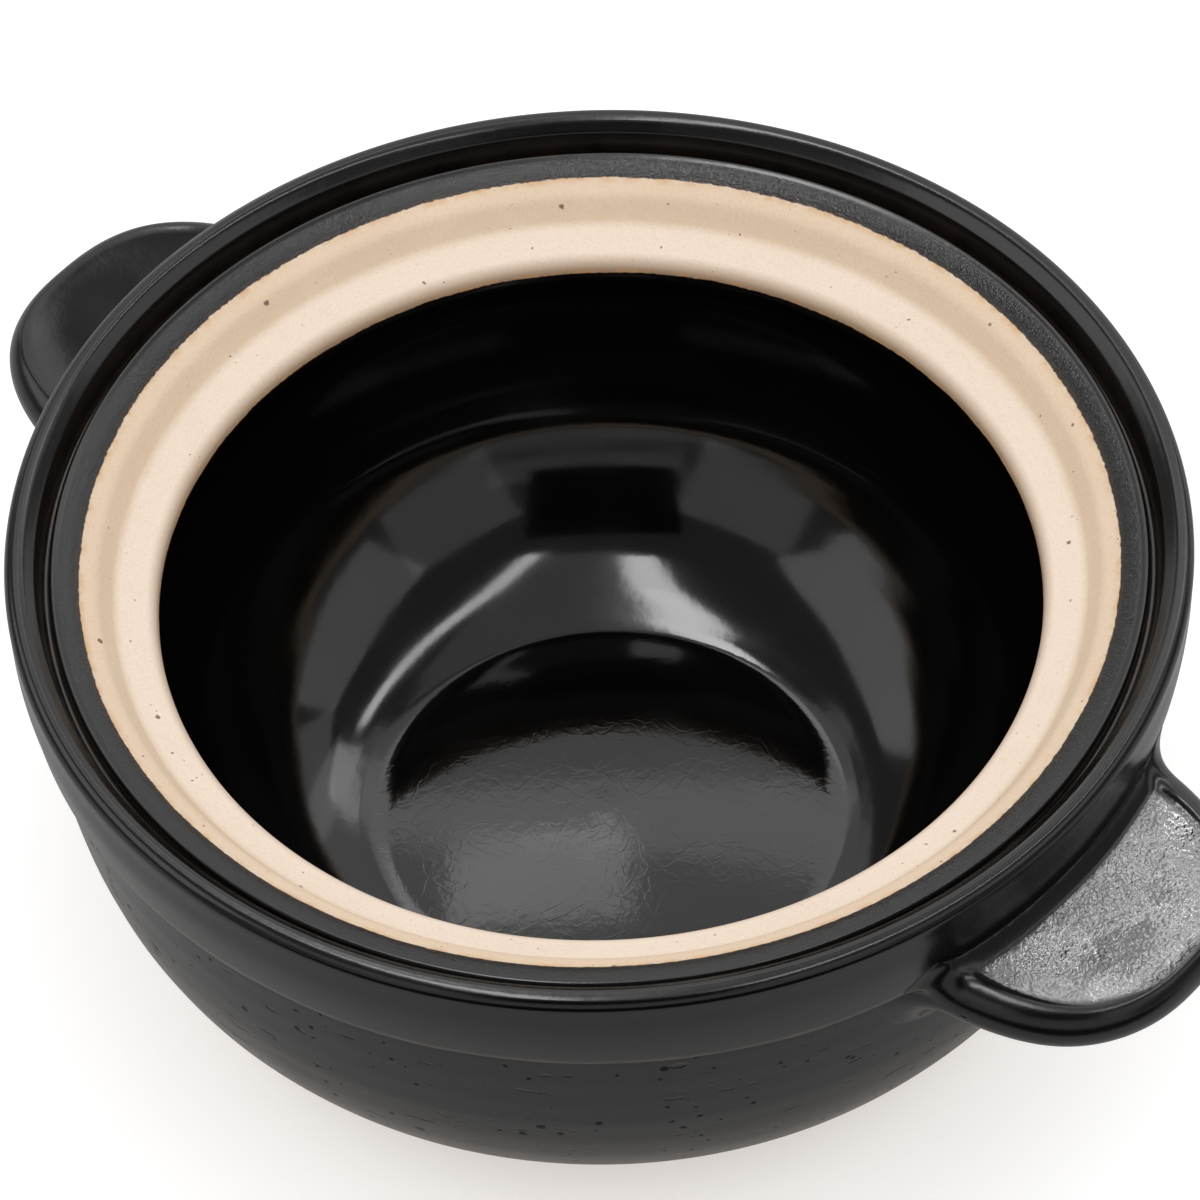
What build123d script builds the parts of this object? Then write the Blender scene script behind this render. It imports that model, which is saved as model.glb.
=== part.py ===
from build123d import *
import os
from math import asin, atan2, copysign, cos, degrees, radians, sin, sqrt, tan

os.makedirs("parts", exist_ok=True)

# A stoneware rice pot: one thick thrown body with a double lid seat, and two luted ear handles.
# The origin is the centre of the foot ring's resting face, the handles lie along X, Z is up.

# Overall sizes
lip_diameter = 240.0
body_height = 107.0

# Lip: a round bead, and a flat band inside it that falls towards the groove
lip_bead_radius = 2.6
lip_band_width = 3.5
lip_band_drop = 2.1
lip_band_corner = 1.0

# Groove between the lip and the ridge
groove_width = 2.6
groove_depth = 3.4
groove_floor_corner = 0.8

# Ridge that carries the outer lid, with its crown above the edge of the bare clay
ridge_width = 6.1
ridge_crown = 1.4
ridge_corner = 1.2
seat_edge_depth = 7.0

# Bare clay seat of the inner lid: a sloping shoulder, a ledge that falls inwards, a rounded edge
slope_width = 6.7
slope_drop = 7.2
shoulder_share = (0.57, 0.29)
shoulder_radius = 4.0
slope_foot_radius = 2.2
ledge_width = 6.4
ledge_fall = 2.5
ledge_edge_radius = 3.5

# Collar under the lip, and the step where the lower wall is set in
collar_height = 21.0
collar_taper = 1.8
collar_swell = 0.4
collar_step = 2.9
step_height = 1.6
step_edge_radius = 0.7

# Lower wall and foot ring
foot_radius_share = 0.633
foot_height = 10.5
foot_taper = 1.5
foot_ring_width = 9.0
foot_recess = 2.5
foot_edge_radius = 1.5
foot_corner_radius = 4.0
belly_foot_angle = 26.0
belly_turn_shares = ((0.345, 0.088), (0.592, 0.196), (0.823, 0.40), (0.95, 0.67))

# Bowl inside
bowl_swell = 1.9
bowl_widest_share = 0.674
bowl_turn_shares = ((0.489, 0.181), (0.811, 0.448))
floor_thickness = 11.5
floor_radius_share = 0.52
floor_corner_radius = 13.0
floor_corner_angle = 20.0

# Ear handles: round-edged lugs with a thumb dish on top, flared where they meet the wall
handle_reach = 31.0
handle_half_width = 37.4
handle_tip_share = 1.123
handle_side_share = 0.775
handle_thickness = 12.5
handle_top_depth = 20.0
handle_edge_radius = 5.6
handle_side_flare = 9.0
handle_top_flare = 5.0
handle_under_flare = 6.0
flare_angle = 55.0
side_flare_angle = 35.0
handle_root_depth = 12.0
dish_margin = 5.5
dish_wall_gap = 2.4
dish_depth = 1.6
dish_taper = 50.0

# How close an edge has to lie to a named corner to be taken for it
corner_tolerance = 0.01

# The second handle is the first one turned half a turn about the pot's axis
half_turn = 180.0

# Radii and heights that follow from the sizes above
lip_radius = lip_diameter / 2
bead_centre_radius = lip_radius - lip_bead_radius
bead_centre_height = body_height - lip_bead_radius
groove_outer_radius = bead_centre_radius - lip_band_width
groove_inner_radius = groove_outer_radius - groove_width
seat_edge_radius = groove_inner_radius - ridge_width
seat_edge_height = body_height - seat_edge_depth
ridge_top_height = seat_edge_height + ridge_crown
groove_floor_height = ridge_top_height - groove_depth
ledge_outer_radius = seat_edge_radius - slope_width
ledge_outer_height = seat_edge_height - slope_drop
ledge_inner_radius = ledge_outer_radius - ledge_width
ledge_inner_height = ledge_outer_height - ledge_fall
ledge_fall_angle = degrees(atan2(ledge_fall, ledge_width))
crease_radius = lip_radius - collar_taper
crease_height = body_height - collar_height
belly_radius = crease_radius - collar_step
belly_top_height = crease_height - step_height
foot_radius = belly_radius * foot_radius_share
bowl_radius = ledge_inner_radius + bowl_swell
floor_radius = bowl_radius * floor_radius_share
floor_height = foot_recess + floor_thickness
bowl_widest_height = floor_height + bowl_widest_share * (seat_edge_height - floor_height)
floor_turn_radius = floor_radius + floor_corner_radius * sin(radians(floor_corner_angle))
floor_turn_height = floor_height + floor_corner_radius * (1 - cos(radians(floor_corner_angle)))


def between(low, high, shares):
    """A point that lies the given shares of the way from one corner to the other."""
    return tuple(a + (b - a) * share for a, b, share in zip(low, high, shares))


def heading(angle):
    """A direction in the section, in degrees above the outward radius."""
    return (cos(radians(angle)), sin(radians(angle)))


# Outer side of the section, from the axis over the foot ring and the wall to the lip's crown
foot_outer = (foot_radius - foot_taper, 0)
foot_inner = (foot_radius - foot_taper - foot_ring_width, 0)
foot_top = (foot_radius, foot_height)
belly_top = (belly_radius, belly_top_height)
crease = (crease_radius, crease_height)
collar_top = (lip_radius, bead_centre_height)
collar_middle = (
    (crease_radius + lip_radius) / 2 + collar_swell,
    (crease_height + bead_centre_height) / 2,
)
lip_crown = (bead_centre_radius, body_height)

# Top of the section, from the lip's crown inwards to the ledge's inner edge
groove_outer_top = (groove_outer_radius, body_height - lip_band_drop)
groove_outer_foot = (groove_outer_radius, groove_floor_height)
groove_inner_foot = (groove_inner_radius, groove_floor_height)
ridge_outer_edge = (groove_inner_radius, seat_edge_height + ridge_crown / 2)
ridge_middle = ((groove_inner_radius + seat_edge_radius) / 2, ridge_top_height)
seat_edge = (seat_edge_radius, seat_edge_height)
slope_foot = (ledge_outer_radius, ledge_outer_height)
slope_shoulder = between(seat_edge, slope_foot, shoulder_share)
ledge_inner = (ledge_inner_radius, ledge_inner_height)

# Inner side of the section, from the widest part of the bowl down to its flat floor
bowl_widest = (bowl_radius, bowl_widest_height)
floor_turn = (floor_turn_radius, floor_turn_height)
floor_edge = (floor_radius, floor_height)


def ring_edges(body, *corners):
    """The round edges that pass through the given corners of the section."""
    return [
        edge for edge in body.edges().filter_by(GeomType.CIRCLE)
        if any(
            abs(edge.radius - radius) < corner_tolerance
            and abs(edge.arc_center.Z - height) < corner_tolerance
            for radius, height in corners
        )
    ]


with BuildPart() as pot_body:
    with BuildSketch(Plane.XZ) as section:
        with BuildLine():
            Polyline((0, foot_recess), (foot_inner[0], foot_recess), foot_inner, foot_outer, foot_top)
            Spline(
                foot_top,
                *[between(foot_top, belly_top, shares) for shares in belly_turn_shares],
                belly_top,
                tangents=(heading(belly_foot_angle), heading(90)),
            )
            Line(belly_top, crease)
            ThreePointArc(crease, collar_middle, collar_top)
            RadiusArc(collar_top, lip_crown, -lip_bead_radius)
            Polyline(
                lip_crown, groove_outer_top, groove_outer_foot, groove_inner_foot, ridge_outer_edge
            )
            ThreePointArc(ridge_outer_edge, ridge_middle, seat_edge)
            Polyline(seat_edge, slope_shoulder, slope_foot, ledge_inner)
            ledge_edge = JernArc(
                ledge_inner, heading(180 + ledge_fall_angle), ledge_edge_radius, 90 - ledge_fall_angle
            )
            Spline(ledge_edge @ 1, bowl_widest, tangents=(heading(-90), heading(-90)))
            Spline(
                bowl_widest,
                *[between(floor_turn, bowl_widest, shares) for shares in reversed(bowl_turn_shares)],
                floor_turn,
                tangents=(heading(-90), heading(180 + floor_corner_angle)),
            )
            RadiusArc(floor_turn, floor_edge, floor_corner_radius)
            Line(floor_edge, (0, floor_height))
            Line((0, floor_height), (0, foot_recess))
        make_face()
    revolve(axis=Axis.Z)
    fillet(ring_edges(pot_body, groove_outer_foot, groove_inner_foot), groove_floor_corner)
    fillet(ring_edges(pot_body, groove_outer_top), lip_band_corner)
    fillet(ring_edges(pot_body, ridge_outer_edge), ridge_corner)
    fillet(ring_edges(pot_body, slope_shoulder), shoulder_radius)
    fillet(ring_edges(pot_body, slope_foot), slope_foot_radius)
    fillet(ring_edges(pot_body, crease), step_edge_radius)
    fillet(ring_edges(pot_body, foot_outer, foot_inner), foot_edge_radius)
    fillet(ring_edges(pot_body, foot_top), foot_corner_radius)

# The space inside the wall's outer side, which the handles are cut back to
with BuildPart() as wall_core:
    with BuildSketch(Plane.XZ):
        with BuildLine():
            Spline(
                foot_top,
                *[between(foot_top, belly_top, shares) for shares in belly_turn_shares],
                belly_top,
                tangents=(heading(belly_foot_angle), heading(90)),
            )
            Line(belly_top, crease)
            ThreePointArc(crease, collar_middle, collar_top)
            Polyline(collar_top, (0, bead_centre_height), (0, foot_height), foot_top)
        make_face()
    revolve(axis=Axis.Z)
    fillet(ring_edges(wall_core, crease), step_edge_radius)

# Where a handle's plan and side are drawn from
handle_tip_radius = handle_half_width * handle_tip_share
handle_side_radius = handle_reach * handle_side_share
tip_centre = lip_radius + handle_reach - handle_tip_radius
side_offset = handle_half_width - handle_side_radius
side_angle = degrees(asin(side_offset / (handle_tip_radius - handle_side_radius)))
side_centre = tip_centre + (handle_tip_radius - handle_side_radius) * cos(radians(side_angle))
handle_top = body_height - handle_top_depth
handle_bottom = handle_top - handle_thickness
root_radius = belly_radius - handle_root_depth
side_flare_y = handle_half_width + handle_side_flare * (1 - cos(radians(side_flare_angle)))
side_flare_x = sqrt(crease_radius ** 2 - side_flare_y ** 2)


def flare_points(wall, face, radius, angle, root):
    """A face's hollow sweep up the wall: its start, middle and end, and its line on to the root."""
    run = radius * abs(sin(radians(angle)))
    rise = copysign(radius * (1 - cos(radians(angle))), angle)
    half_run = radius * abs(sin(radians(angle / 2)))
    half_rise = copysign(radius * (1 - cos(radians(angle / 2))), angle)
    return (
        (wall + run, face),
        (wall + run - half_run, face + half_rise),
        (wall, face + rise),
        (root, face + rise + (wall - root) * tan(radians(angle))),
    )


def lug_arcs(margin):
    """The tip arc and the two side arcs of the lug's plan, drawn in by a margin."""
    CenterArc((tip_centre, 0), handle_tip_radius - margin, -side_angle, 2 * side_angle)
    for side in (1, -1):
        CenterArc(
            (side_centre, side * side_offset), handle_side_radius - margin,
            side * side_angle, side * (90 - side_angle),
        )


with BuildPart() as handle_right:
    with BuildSketch(Plane.XZ) as lug_side:
        with BuildLine():
            upper = flare_points(crease_radius, handle_top, handle_top_flare, flare_angle, root_radius)
            lower = flare_points(
                belly_radius, handle_bottom, handle_under_flare, -flare_angle, root_radius
            )
            far_radius = lip_radius + 2 * handle_reach
            Polyline(upper[0], (far_radius, handle_top), (far_radius, handle_bottom), lower[0])
            ThreePointArc(*upper[:3])
            ThreePointArc(*lower[:3])
            Polyline(upper[2], upper[3], lower[3], lower[2])
        make_face()
    revolve(axis=Axis.Z)
    with BuildSketch() as lug_plan:
        with BuildLine():
            lug_arcs(0)
            root_ends = []
            for side in (1, -1):
                sweep = flare_points(
                    side_flare_x, side * handle_half_width, handle_side_flare,
                    side * side_flare_angle, root_radius - handle_root_depth,
                )
                Line((side_centre, side * handle_half_width), sweep[0])
                ThreePointArc(*sweep[:3])
                Line(sweep[2], sweep[3])
                root_ends.append(sweep[3])
            Line(*root_ends)
        make_face()
    extrude(amount=bead_centre_height, mode=Mode.INTERSECT)
    rim_edges = [
        edge for edge in handle_right.edges()
        if edge.bounding_box().max.X > root_radius + corner_tolerance
        and edge.bounding_box().size.Z < handle_thickness - corner_tolerance
        and (abs(edge.center().Y) > corner_tolerance or edge.center().X > lip_radius)
    ]
    fillet(rim_edges, handle_edge_radius)
    with BuildSketch(Plane.XY.offset(handle_top)) as dish_plan:
        with BuildLine():
            lug_arcs(dish_margin)
            dish_half_width = handle_half_width - dish_margin
            for side in (1, -1):
                Line((side_centre, side * dish_half_width), (root_radius, side * dish_half_width))
            Line((root_radius, -dish_half_width), (root_radius, dish_half_width))
        make_face()
        Circle(crease_radius + dish_wall_gap, mode=Mode.SUBTRACT)
    extrude(amount=-dish_depth, taper=dish_taper, mode=Mode.SUBTRACT)
    add(wall_core.part, mode=Mode.SUBTRACT)

with BuildPart() as handle_left:
    add(handle_right.part.rotate(Axis.Z, half_turn))

pot_body.part.label = "pot_body"
handle_right.part.label = "handle_right"
handle_left.part.label = "handle_left"

export_step(pot_body.part, "parts/pot_body.step")
export_step(handle_right.part, "parts/handle_right.step")
export_step(handle_left.part, "parts/handle_left.step")
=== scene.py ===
import math

import bpy
import numpy as np
from mathutils import Matrix, Vector


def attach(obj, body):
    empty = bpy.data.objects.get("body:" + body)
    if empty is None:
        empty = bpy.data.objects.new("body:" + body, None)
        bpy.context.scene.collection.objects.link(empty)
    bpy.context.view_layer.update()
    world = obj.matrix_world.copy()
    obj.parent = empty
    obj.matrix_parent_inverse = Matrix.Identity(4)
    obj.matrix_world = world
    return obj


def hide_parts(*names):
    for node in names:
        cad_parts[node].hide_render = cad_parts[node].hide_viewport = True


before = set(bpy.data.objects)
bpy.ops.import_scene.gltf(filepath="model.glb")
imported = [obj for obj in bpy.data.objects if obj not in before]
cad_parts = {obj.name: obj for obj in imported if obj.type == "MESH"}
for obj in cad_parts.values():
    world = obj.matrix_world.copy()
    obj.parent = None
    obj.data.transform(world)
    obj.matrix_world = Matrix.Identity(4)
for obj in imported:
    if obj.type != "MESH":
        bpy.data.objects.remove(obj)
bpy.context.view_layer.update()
mm = 0.001

# What a user would change. Points are radius and height in mm.
potShape = {
    "segments": 400,
    "footInner": 62.5, "footOuter": 71.5, "footTop": (73.0, 10.5), "footRecess": 2.5,
    "footLead": (1.0, 0.6),
    "wall": ((87.59, 17.0), (92.3, 20.1), (98.04, 24.98), (102.3, 30.1), (105.4, 35.0),
             (107.85, 40.06), (109.75, 45.0), (111.2, 50.0), (112.35, 55.0), (113.25, 60.0),
             (114.4, 70.0), (115.1, 79.0)),
    "wallTop": (115.3, 84.4), "crease": (118.2, 86.0), "collarMiddle": (119.5, 95.2),
    "lipRadius": 119.7, "height": 107.0, "bead": 2.6, "lipTurn": (2, 127), "lipPoints": 20,
    "bandFoot": (113.6, 104.7), "grooveOuter": (112.2, 98.9), "grooveInner": (111.2, 98.9),
    "ridgeOuter": (111.05, 101.6), "ridge": ((109.3, 101.45), (107.9, 101.05), (106.6, 100.55)),
    "seatEdge": (105.45, 99.9),
    "shoulder": (101.38, 97.91), "slopeFoot": (98.5, 92.8), "ledgeInner": (92.1, 90.3),
    "ledgeFall": 21.3, "ledgeRound": 3.5, "ledgePoints": 10,
    "bowl": ((89.85, 85.0), (91.4, 81.0), (92.9, 77.0), (93.6, 72.5), (93.2, 64.0), (91.4, 54.0),
             (89.2, 46.0), (87.5, 42.0), (82.6, 35.0), (79.5, 31.3), (73.28, 25.13), (66.5, 20.0),
             (59.5, 16.5)),
    "floorEdge": (51.5, 14.2), "floorRadius": 49.5, "floorHeight": 14.0, "floorDome": 2.1,
    "floorPoints": 17,
    "glazeBottom": (101.8, 29.5), "glazeTop": (89.85, 86.6), "glazeThickness": 0.14,
    # Radius of each rounded corner, and the length of one step along it
    "rounds": {
        "footInner": (1.2, 0.4), "footOuter": (1.5, 0.4), "neck": (3.6, 0.7),
        "crease": (0.4, 0.2), "bandFoot": (1.0, 0.12), "groove": (0.4, 0.2),
        "ridgeOuter": (0.7, 0.1), "shoulder": (4.0, 0.6), "slopeFoot": (2.2, 0.4),
    },
    # Steps of the smooth runs, and the widest gap between two rows of vertices
    "steps": {"under": 7.0, "foot": 1.2, "wall": 2.0, "collar": 1.6, "ridge": 0.6, "bowl": 2.2},
    "gaps": {
        "under": 9, "foot": 2.4, "neck": 1.2, "wall": 2.1, "crease": 0.6, "collar": 1.7,
        "lip": 0.6, "seat": 0.65, "ridge": 0.6, "slope": 0.75, "edge": 0.6, "bowl": 2.3,
        "floor": 9,
    },
}

# Marks of the hand, in mm. Terms are waves round the pot: count, phase and height.
wallWaves = {
    "ringDepth": 0.05, "ringPitch": 8.5, "ringBend": 11.0,
    "ringTerms": ((2, 0.4, 0.8), (3, 2.1, 0.5)),
    "dentDepth": 0.10, "dentPitch": 13, "dentLean": 130,
    "dentTerms": ((5, 0.3, 1.0), (9, 1.7, 0.7), (14, 0.9, 0.5)), "dentTurn": (3, 0.2, 1.4),
    "fadeLow": (12, 12), "fadeHigh": (106.5, 5, 0.12), "footReach": 60,
    "creaseWobble": 0.35, "creaseReach": 4.5,
    "creaseTerms": ((3, 0.6, 0.5), (7, 2.0, 0.35), (17, 0.9, 0.2), (31, 2.6, 0.12)),
    "lipCrease": 0.09, "lipCreaseWidth": 0.45,
    "skin": 0.05, "ridgeBead": 0.24, "ridgeBeadWidth": 0.5,
}

bowlWaves = {
    "ringDepth": 0.015, "ringPitch": 9.3, "ringTerms": (2, 0.9, 0.7),
    "dentDepth": 0.03, "dentLean": 60, "dentTerms": ((4, 0.1, 0.6), (7, 1.1, 0.4)),
    "fadeTop": (4, 8), "fadeFloor": (6, 12, 0.08),
}

# Where the glaze ends: a shift along the section, and how it wanders
glazeBorders = {
    "wall": (0.0, ((3, 0.3, 0.9), (8, 1.0, 0.5), (19, 2.2, 0.3), (43, 0.4, 0.2))),
    "seat": (0.45, ((2, 1.3, 0.12), (7, 0.4, 0.07), (23, 2.0, 0.04), (61, 1.0, 0.03))),
    "bowl": (0.9, ((2, 0.2, 0.10), (11, 1.4, 0.08), (37, 0.3, 0.06))),
    "softness": 0.35, "underPot": 30.0, "bowlMiddle": -60.0, "handles": -40.0,
}

# Where the glaze runs thin: strength and width
thinGlaze = {
    "crease": (1.1, 0.4, 0.1), "groove": (0.6, 0.6), "band": (0.2, 0.4, 5.0, 2.0),
    "border": (0.6, 0.5),
}

# Sizes in mm. The keys 1 and -1 stand for the right and the left handle.
handleShape = {
    "centre": 100.0, "reach": 50.9, "halfWidth": 37.4, "power": 2.5,
    "middle": 80.75, "thickness": 12.3, "edgeRadius": 6.0, "blend": 7.0,
    "dishTip": 3.0, "dishRoot": 7.4, "dishTaper": (150, 35), "dishWall": 121.2,
    "dishCorner": 3.0, "dishDepth": 1.9, "dishSoft": 9.0, "dishFall": 2.2, "dishStep": 0.35,
    "dishBank": 1.3, "dishEdge": 2.2, "dishFade": (1.8, 0.1, 1.5), "cutScale": 0.75,
    "wobble": ((0.18, 9, 7), (0.12, 5, 13)), "edgeWobble": 0.5,
    "crumple": {1: 1.0, -1: 0.05}, "lean": {1: (0.18, 0.03), -1: (-0.14, -0.2)},
    "box": ((92, 153.5), (-56, 56.1), (58, 100.5)), "cell": 0.6,
    "smoothing": (0.6, 0.6, 0.6, 0.5, 0.4, 0.0), "probe": 0.15, "longestMove": 0.3,
    "leastSlope": 0.3,
    "leastGap": 0.012, "tuck": 0.35, "pathAbove": 3.0, "pathBelow": 4.0,
    "creaseWidth": 0.5, "creaseSpread": 0.8,
}

clayPaint = {
    # The darkest clay colour is used for the sand specks, and as painted shade where the ledge
    # rounds down into the bowl
    # The paler colour is for the flat ledge: partly the clay's own tone, partly painted light on the
    # ledge, so that the slope above it reads as shaded
    "colour": (0.83, 0.65, 0.475), "litLedgeColour": (0.95, 0.80, 0.665), "sandAndShade": (0.50, 0.33, 0.20),
    "flash": (0.72, 0.42, 0.20), "speck": (0.10, 0.06, 0.035),
    "flashShare": 0.85, "speckShare": 0.8, "sandShare": 0.14,
    "roughness": 0.92, "specular": 0.25, "borderRagged": 0.8, "borderSoft": 0.12,
    "bumpDepth": 0.00018, "bumpStrength": 0.7, "grainDepth": 0.6,
    # Least and greatest size of an iron spot, and how soft its edge is
    "spots": (0.06, 0.26, 0.05), "dots": (0.08, 0.24, 0.08), "spotlessShare": 0.72,
}

glazePaint = {
    "colour": (0.0022, 0.0019, 0.0017), "thin": (0.050, 0.032, 0.021),
    "roughness": 0.22, "bowlRoughness": 0.10, "rimRoughness": 0.23, "lipRoughness": 0.19,
    "dishRoughness": 0.26, "floorPolish": 0.03,
    "ior": 1.5, "dishIor": 1.4, "specular": 0.5, "pitDull": -0.4,
    "bumpDepth": 0.0004, "peelDepth": 0.10, "bowlPeelDepth": 0.03, "dragDepth": 0.06,
    "pitDepth": 0.9, "nickDepth": 0.5, "gritDepth": 0.42, "crackDepth": 0.008,
    "swirlDepth": 0.03, "crumpleFine": 0.62, "crumpleFold": 0.75,
    "facetLean": (0.26, 0.26, 0.0), "swell": (0.9, 0.9, 0.0), "swellNoise": (42.0, 1.0),
}

# Scale, detail and, where it isn't 0.5, roughness of each noise
noises = {
    "grain": (900.0, 2.0), "cloud": (60.0, 3.0), "border": (800.0, 3.0, 0.6),
    "flash": (260.0, 4.0, 0.6), "sand": (1900.0, 1.0), "clayWave": (300.0, 3.0),
    "thinWave": (120.0, 3.0), "peel": (330.0, 3.0, 0.55), "drag": (1.0, 3.0, 0.6),
    "pitPatch": (45.0, 2.0), "nicks": (1.0, 1.0), "crumpleFine": (1250.0, 1.0),
    "crumpleFold": (420.0, 2.0), "swirl": (420.0, 3.0), "grit": (2300.0, 1.0),
}

# Scale and detail of the noise that bends a texture, and how far it bends it, in metres
bends = {
    "spots": (1500.0, 2.0, (0.0007, 0.0007, 0.0007)),
    "folds": (120.0, 3.0, (0.012, 0.012, 0.012)),
    "craze": (70.0, 2.0, (0.022, 0.022, 0.0)),
}

cellScales = {"spots": 330.0, "dots": 620.0, "pits": 290.0, "flakes": 85.0, "craze": 190.0}
stretches = {"drag": (90.0, 90.0, 420.0), "nicks": (120.0, 120.0, 430.0)}

# Sizes in metres and angles in degrees, seen from the camera: right, behind and up
studio = {
    "skyFill": 1.0, "skySeen": 0.22, "skyBackdrop": 1.0,
    "floorSize": 6.0, "floorDrop": -0.0002, "floorColour": (0.60, 0.60, 0.60),
    # Glow of the floor seen by the camera: its value under the pot, what is added near it and what
    # is added far out, a painted shadow; and where it rises, in metres
    "floorGlowAndShadow": (0.345, 0.12, 0.16), "floorShadowFade": (0.080, 0.093, 0.135),
    "focal": 6000.0, "pictureWidth": 1200, "sensor": 36.0, "clip": (0.05, 50),
    "distance": 1.2112, "elevation": 49.05, "turn": 41.3, "roll": -2.284,
    "aimRight": 0.00021, "aimUp": -0.00854, "aimHeight": 0.1,
    # Side, height, distance, width and length of the card behind the camera
    "card": (-2, 43, 1.7, 1.05, 0.72),
    # Half width, near end, far end and height of the card on the table
    "tableCard": (0.9, 0.23, 1.6, 0.0004),
    "cardColour": (0.01, 0.01, 0.01), "potMiddle": (0, 0, 0.05),
    # Lights above this height lie flat if they are not far behind
    "flatAbove": 1.575, "flatBefore": 1.5,
    # Name, place, width, length, turn and glow, where 1 is white
    "lights": (
        ("lightTop", (0.17, 0.02, 1.62), 0.62, 1.52, 0, 0.40),
        ("lightTopBack", (-0.06, 0.37, 1.62), 0.44, 0.84, 0, 1.1),
        ("stripLeft", (-0.215, 0.06, 1.60), 0.20, 1.40, 0, 8.0),
        ("stripRight", (0.61, 0.01, 1.60), 0.13, 1.67, -14.5, 6.5),
        ("lightFar", (-0.02, 1.10, 1.60), 1.30, 0.50, 0, 0.75),
        ("lightFarSpot", (-0.12, 1.06, 1.58), 0.30, 0.24, 0, 1.5),
        ("lightFarRight", (0.92, 1.18, 1.60), 0.50, 0.45, 0, 2.0),
        ("lightLeft", (-1.76, 0.25, 1.35), 2.2, 1.15, 0, 1.1),
        ("lightRight", (1.73, -0.12, 1.34), 1.65, 0.80, 0, 0.76),
        ("lightBack", (0.45, 2.15, 1.58), 2.9, 1.9, 0, 0.68),
        ("lightLeftFront", (-1.32, -1.45, 1.3), 1.2, 1.0, 0, 0.5),
        ("lightRightFront", (1.32, -1.45, 1.3), 1.2, 1.0, 0, 0.45),
        ("lightRightBack", (1.45, 1.2, 1.3), 1.0, 0.8, 0, 0.6),
        ("lightBackLow", (0.9, 2.5, 0.35), 4.6, 0.7, 0, 0.55),
        ("lightBackLeft", (-1.2, 2.4, 0.7), 1.4, 1.5, 0, 0.5),
        ("lightFront", (0.1, -2.5, 1.52), 2.4, 0.50, 0, 0.3),
        ("lightFrontLow", (0.0, -2.7, 0.6), 5.0, 1.2, 0, 0.32),
    ),
}


# The arc that rounds a corner between two other points
def arcAt(corner, before, after, radius, step):
    corner, before, after = (np.array(p, float) for p in (corner, before, after))
    a, b = before - corner, after - corner
    a, b = a / np.linalg.norm(a), b / np.linalg.norm(b)
    half = math.acos(np.clip(a @ b, -1, 1)) / 2
    centre = corner + (a + b) / np.linalg.norm(a + b) * radius / math.sin(half)
    start, end = corner + a * radius / math.tan(half), corner + b * radius / math.tan(half)
    first = math.atan2(*(start - centre)[::-1])
    sweep = (math.atan2(*(end - centre)[::-1]) - first + math.pi) % (2 * math.pi) - math.pi
    count = max(2, int(abs(sweep) * radius / step) + 1)
    angles = [first + sweep * i / count for i in range(count + 1)]
    return [centre + radius * np.array((math.cos(t), math.sin(t))) for t in angles]


# A smooth curve through the points, sampled at about the given step
def smoothRun(points, step):
    pts = np.array(points, float)
    out = []
    for i in range(len(pts) - 1):
        p0, p1, p2 = pts[max(i - 1, 0)], pts[i], pts[i + 1]
        p3 = pts[min(i + 2, len(pts) - 1)]
        length = np.linalg.norm(p2 - p1)
        m1 = (p2 - p0) / np.linalg.norm(p2 - p0) * length
        m2 = (p3 - p1) / np.linalg.norm(p3 - p1) * length
        count = max(1, round(length / step))
        for k in range(count):
            t = k / count
            out.append((2 * t**3 - 3 * t**2 + 1) * p1 + (t**3 - 2 * t**2 + t) * m1
                       + (-2 * t**3 + 3 * t**2) * p2 + (t**3 - t**2) * m2)
    out.append(pts[-1])
    return out


# Adds points to long straight stretches and drops doubled ones
def refine(points, step):
    doubled = 0.02
    out = [points[0]]
    for p in points[1:]:
        start = out[-1]
        gap = np.linalg.norm(p - start)
        if gap < doubled:
            continue
        count = max(1, int(round(gap / step)))
        out.extend(start + (p - start) * i / count for i in range(1, count + 1))
    return out


def circleRun(centre, radius, angles):
    return [centre + radius * np.array((math.cos(t), math.sin(t))) for t in angles]


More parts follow.
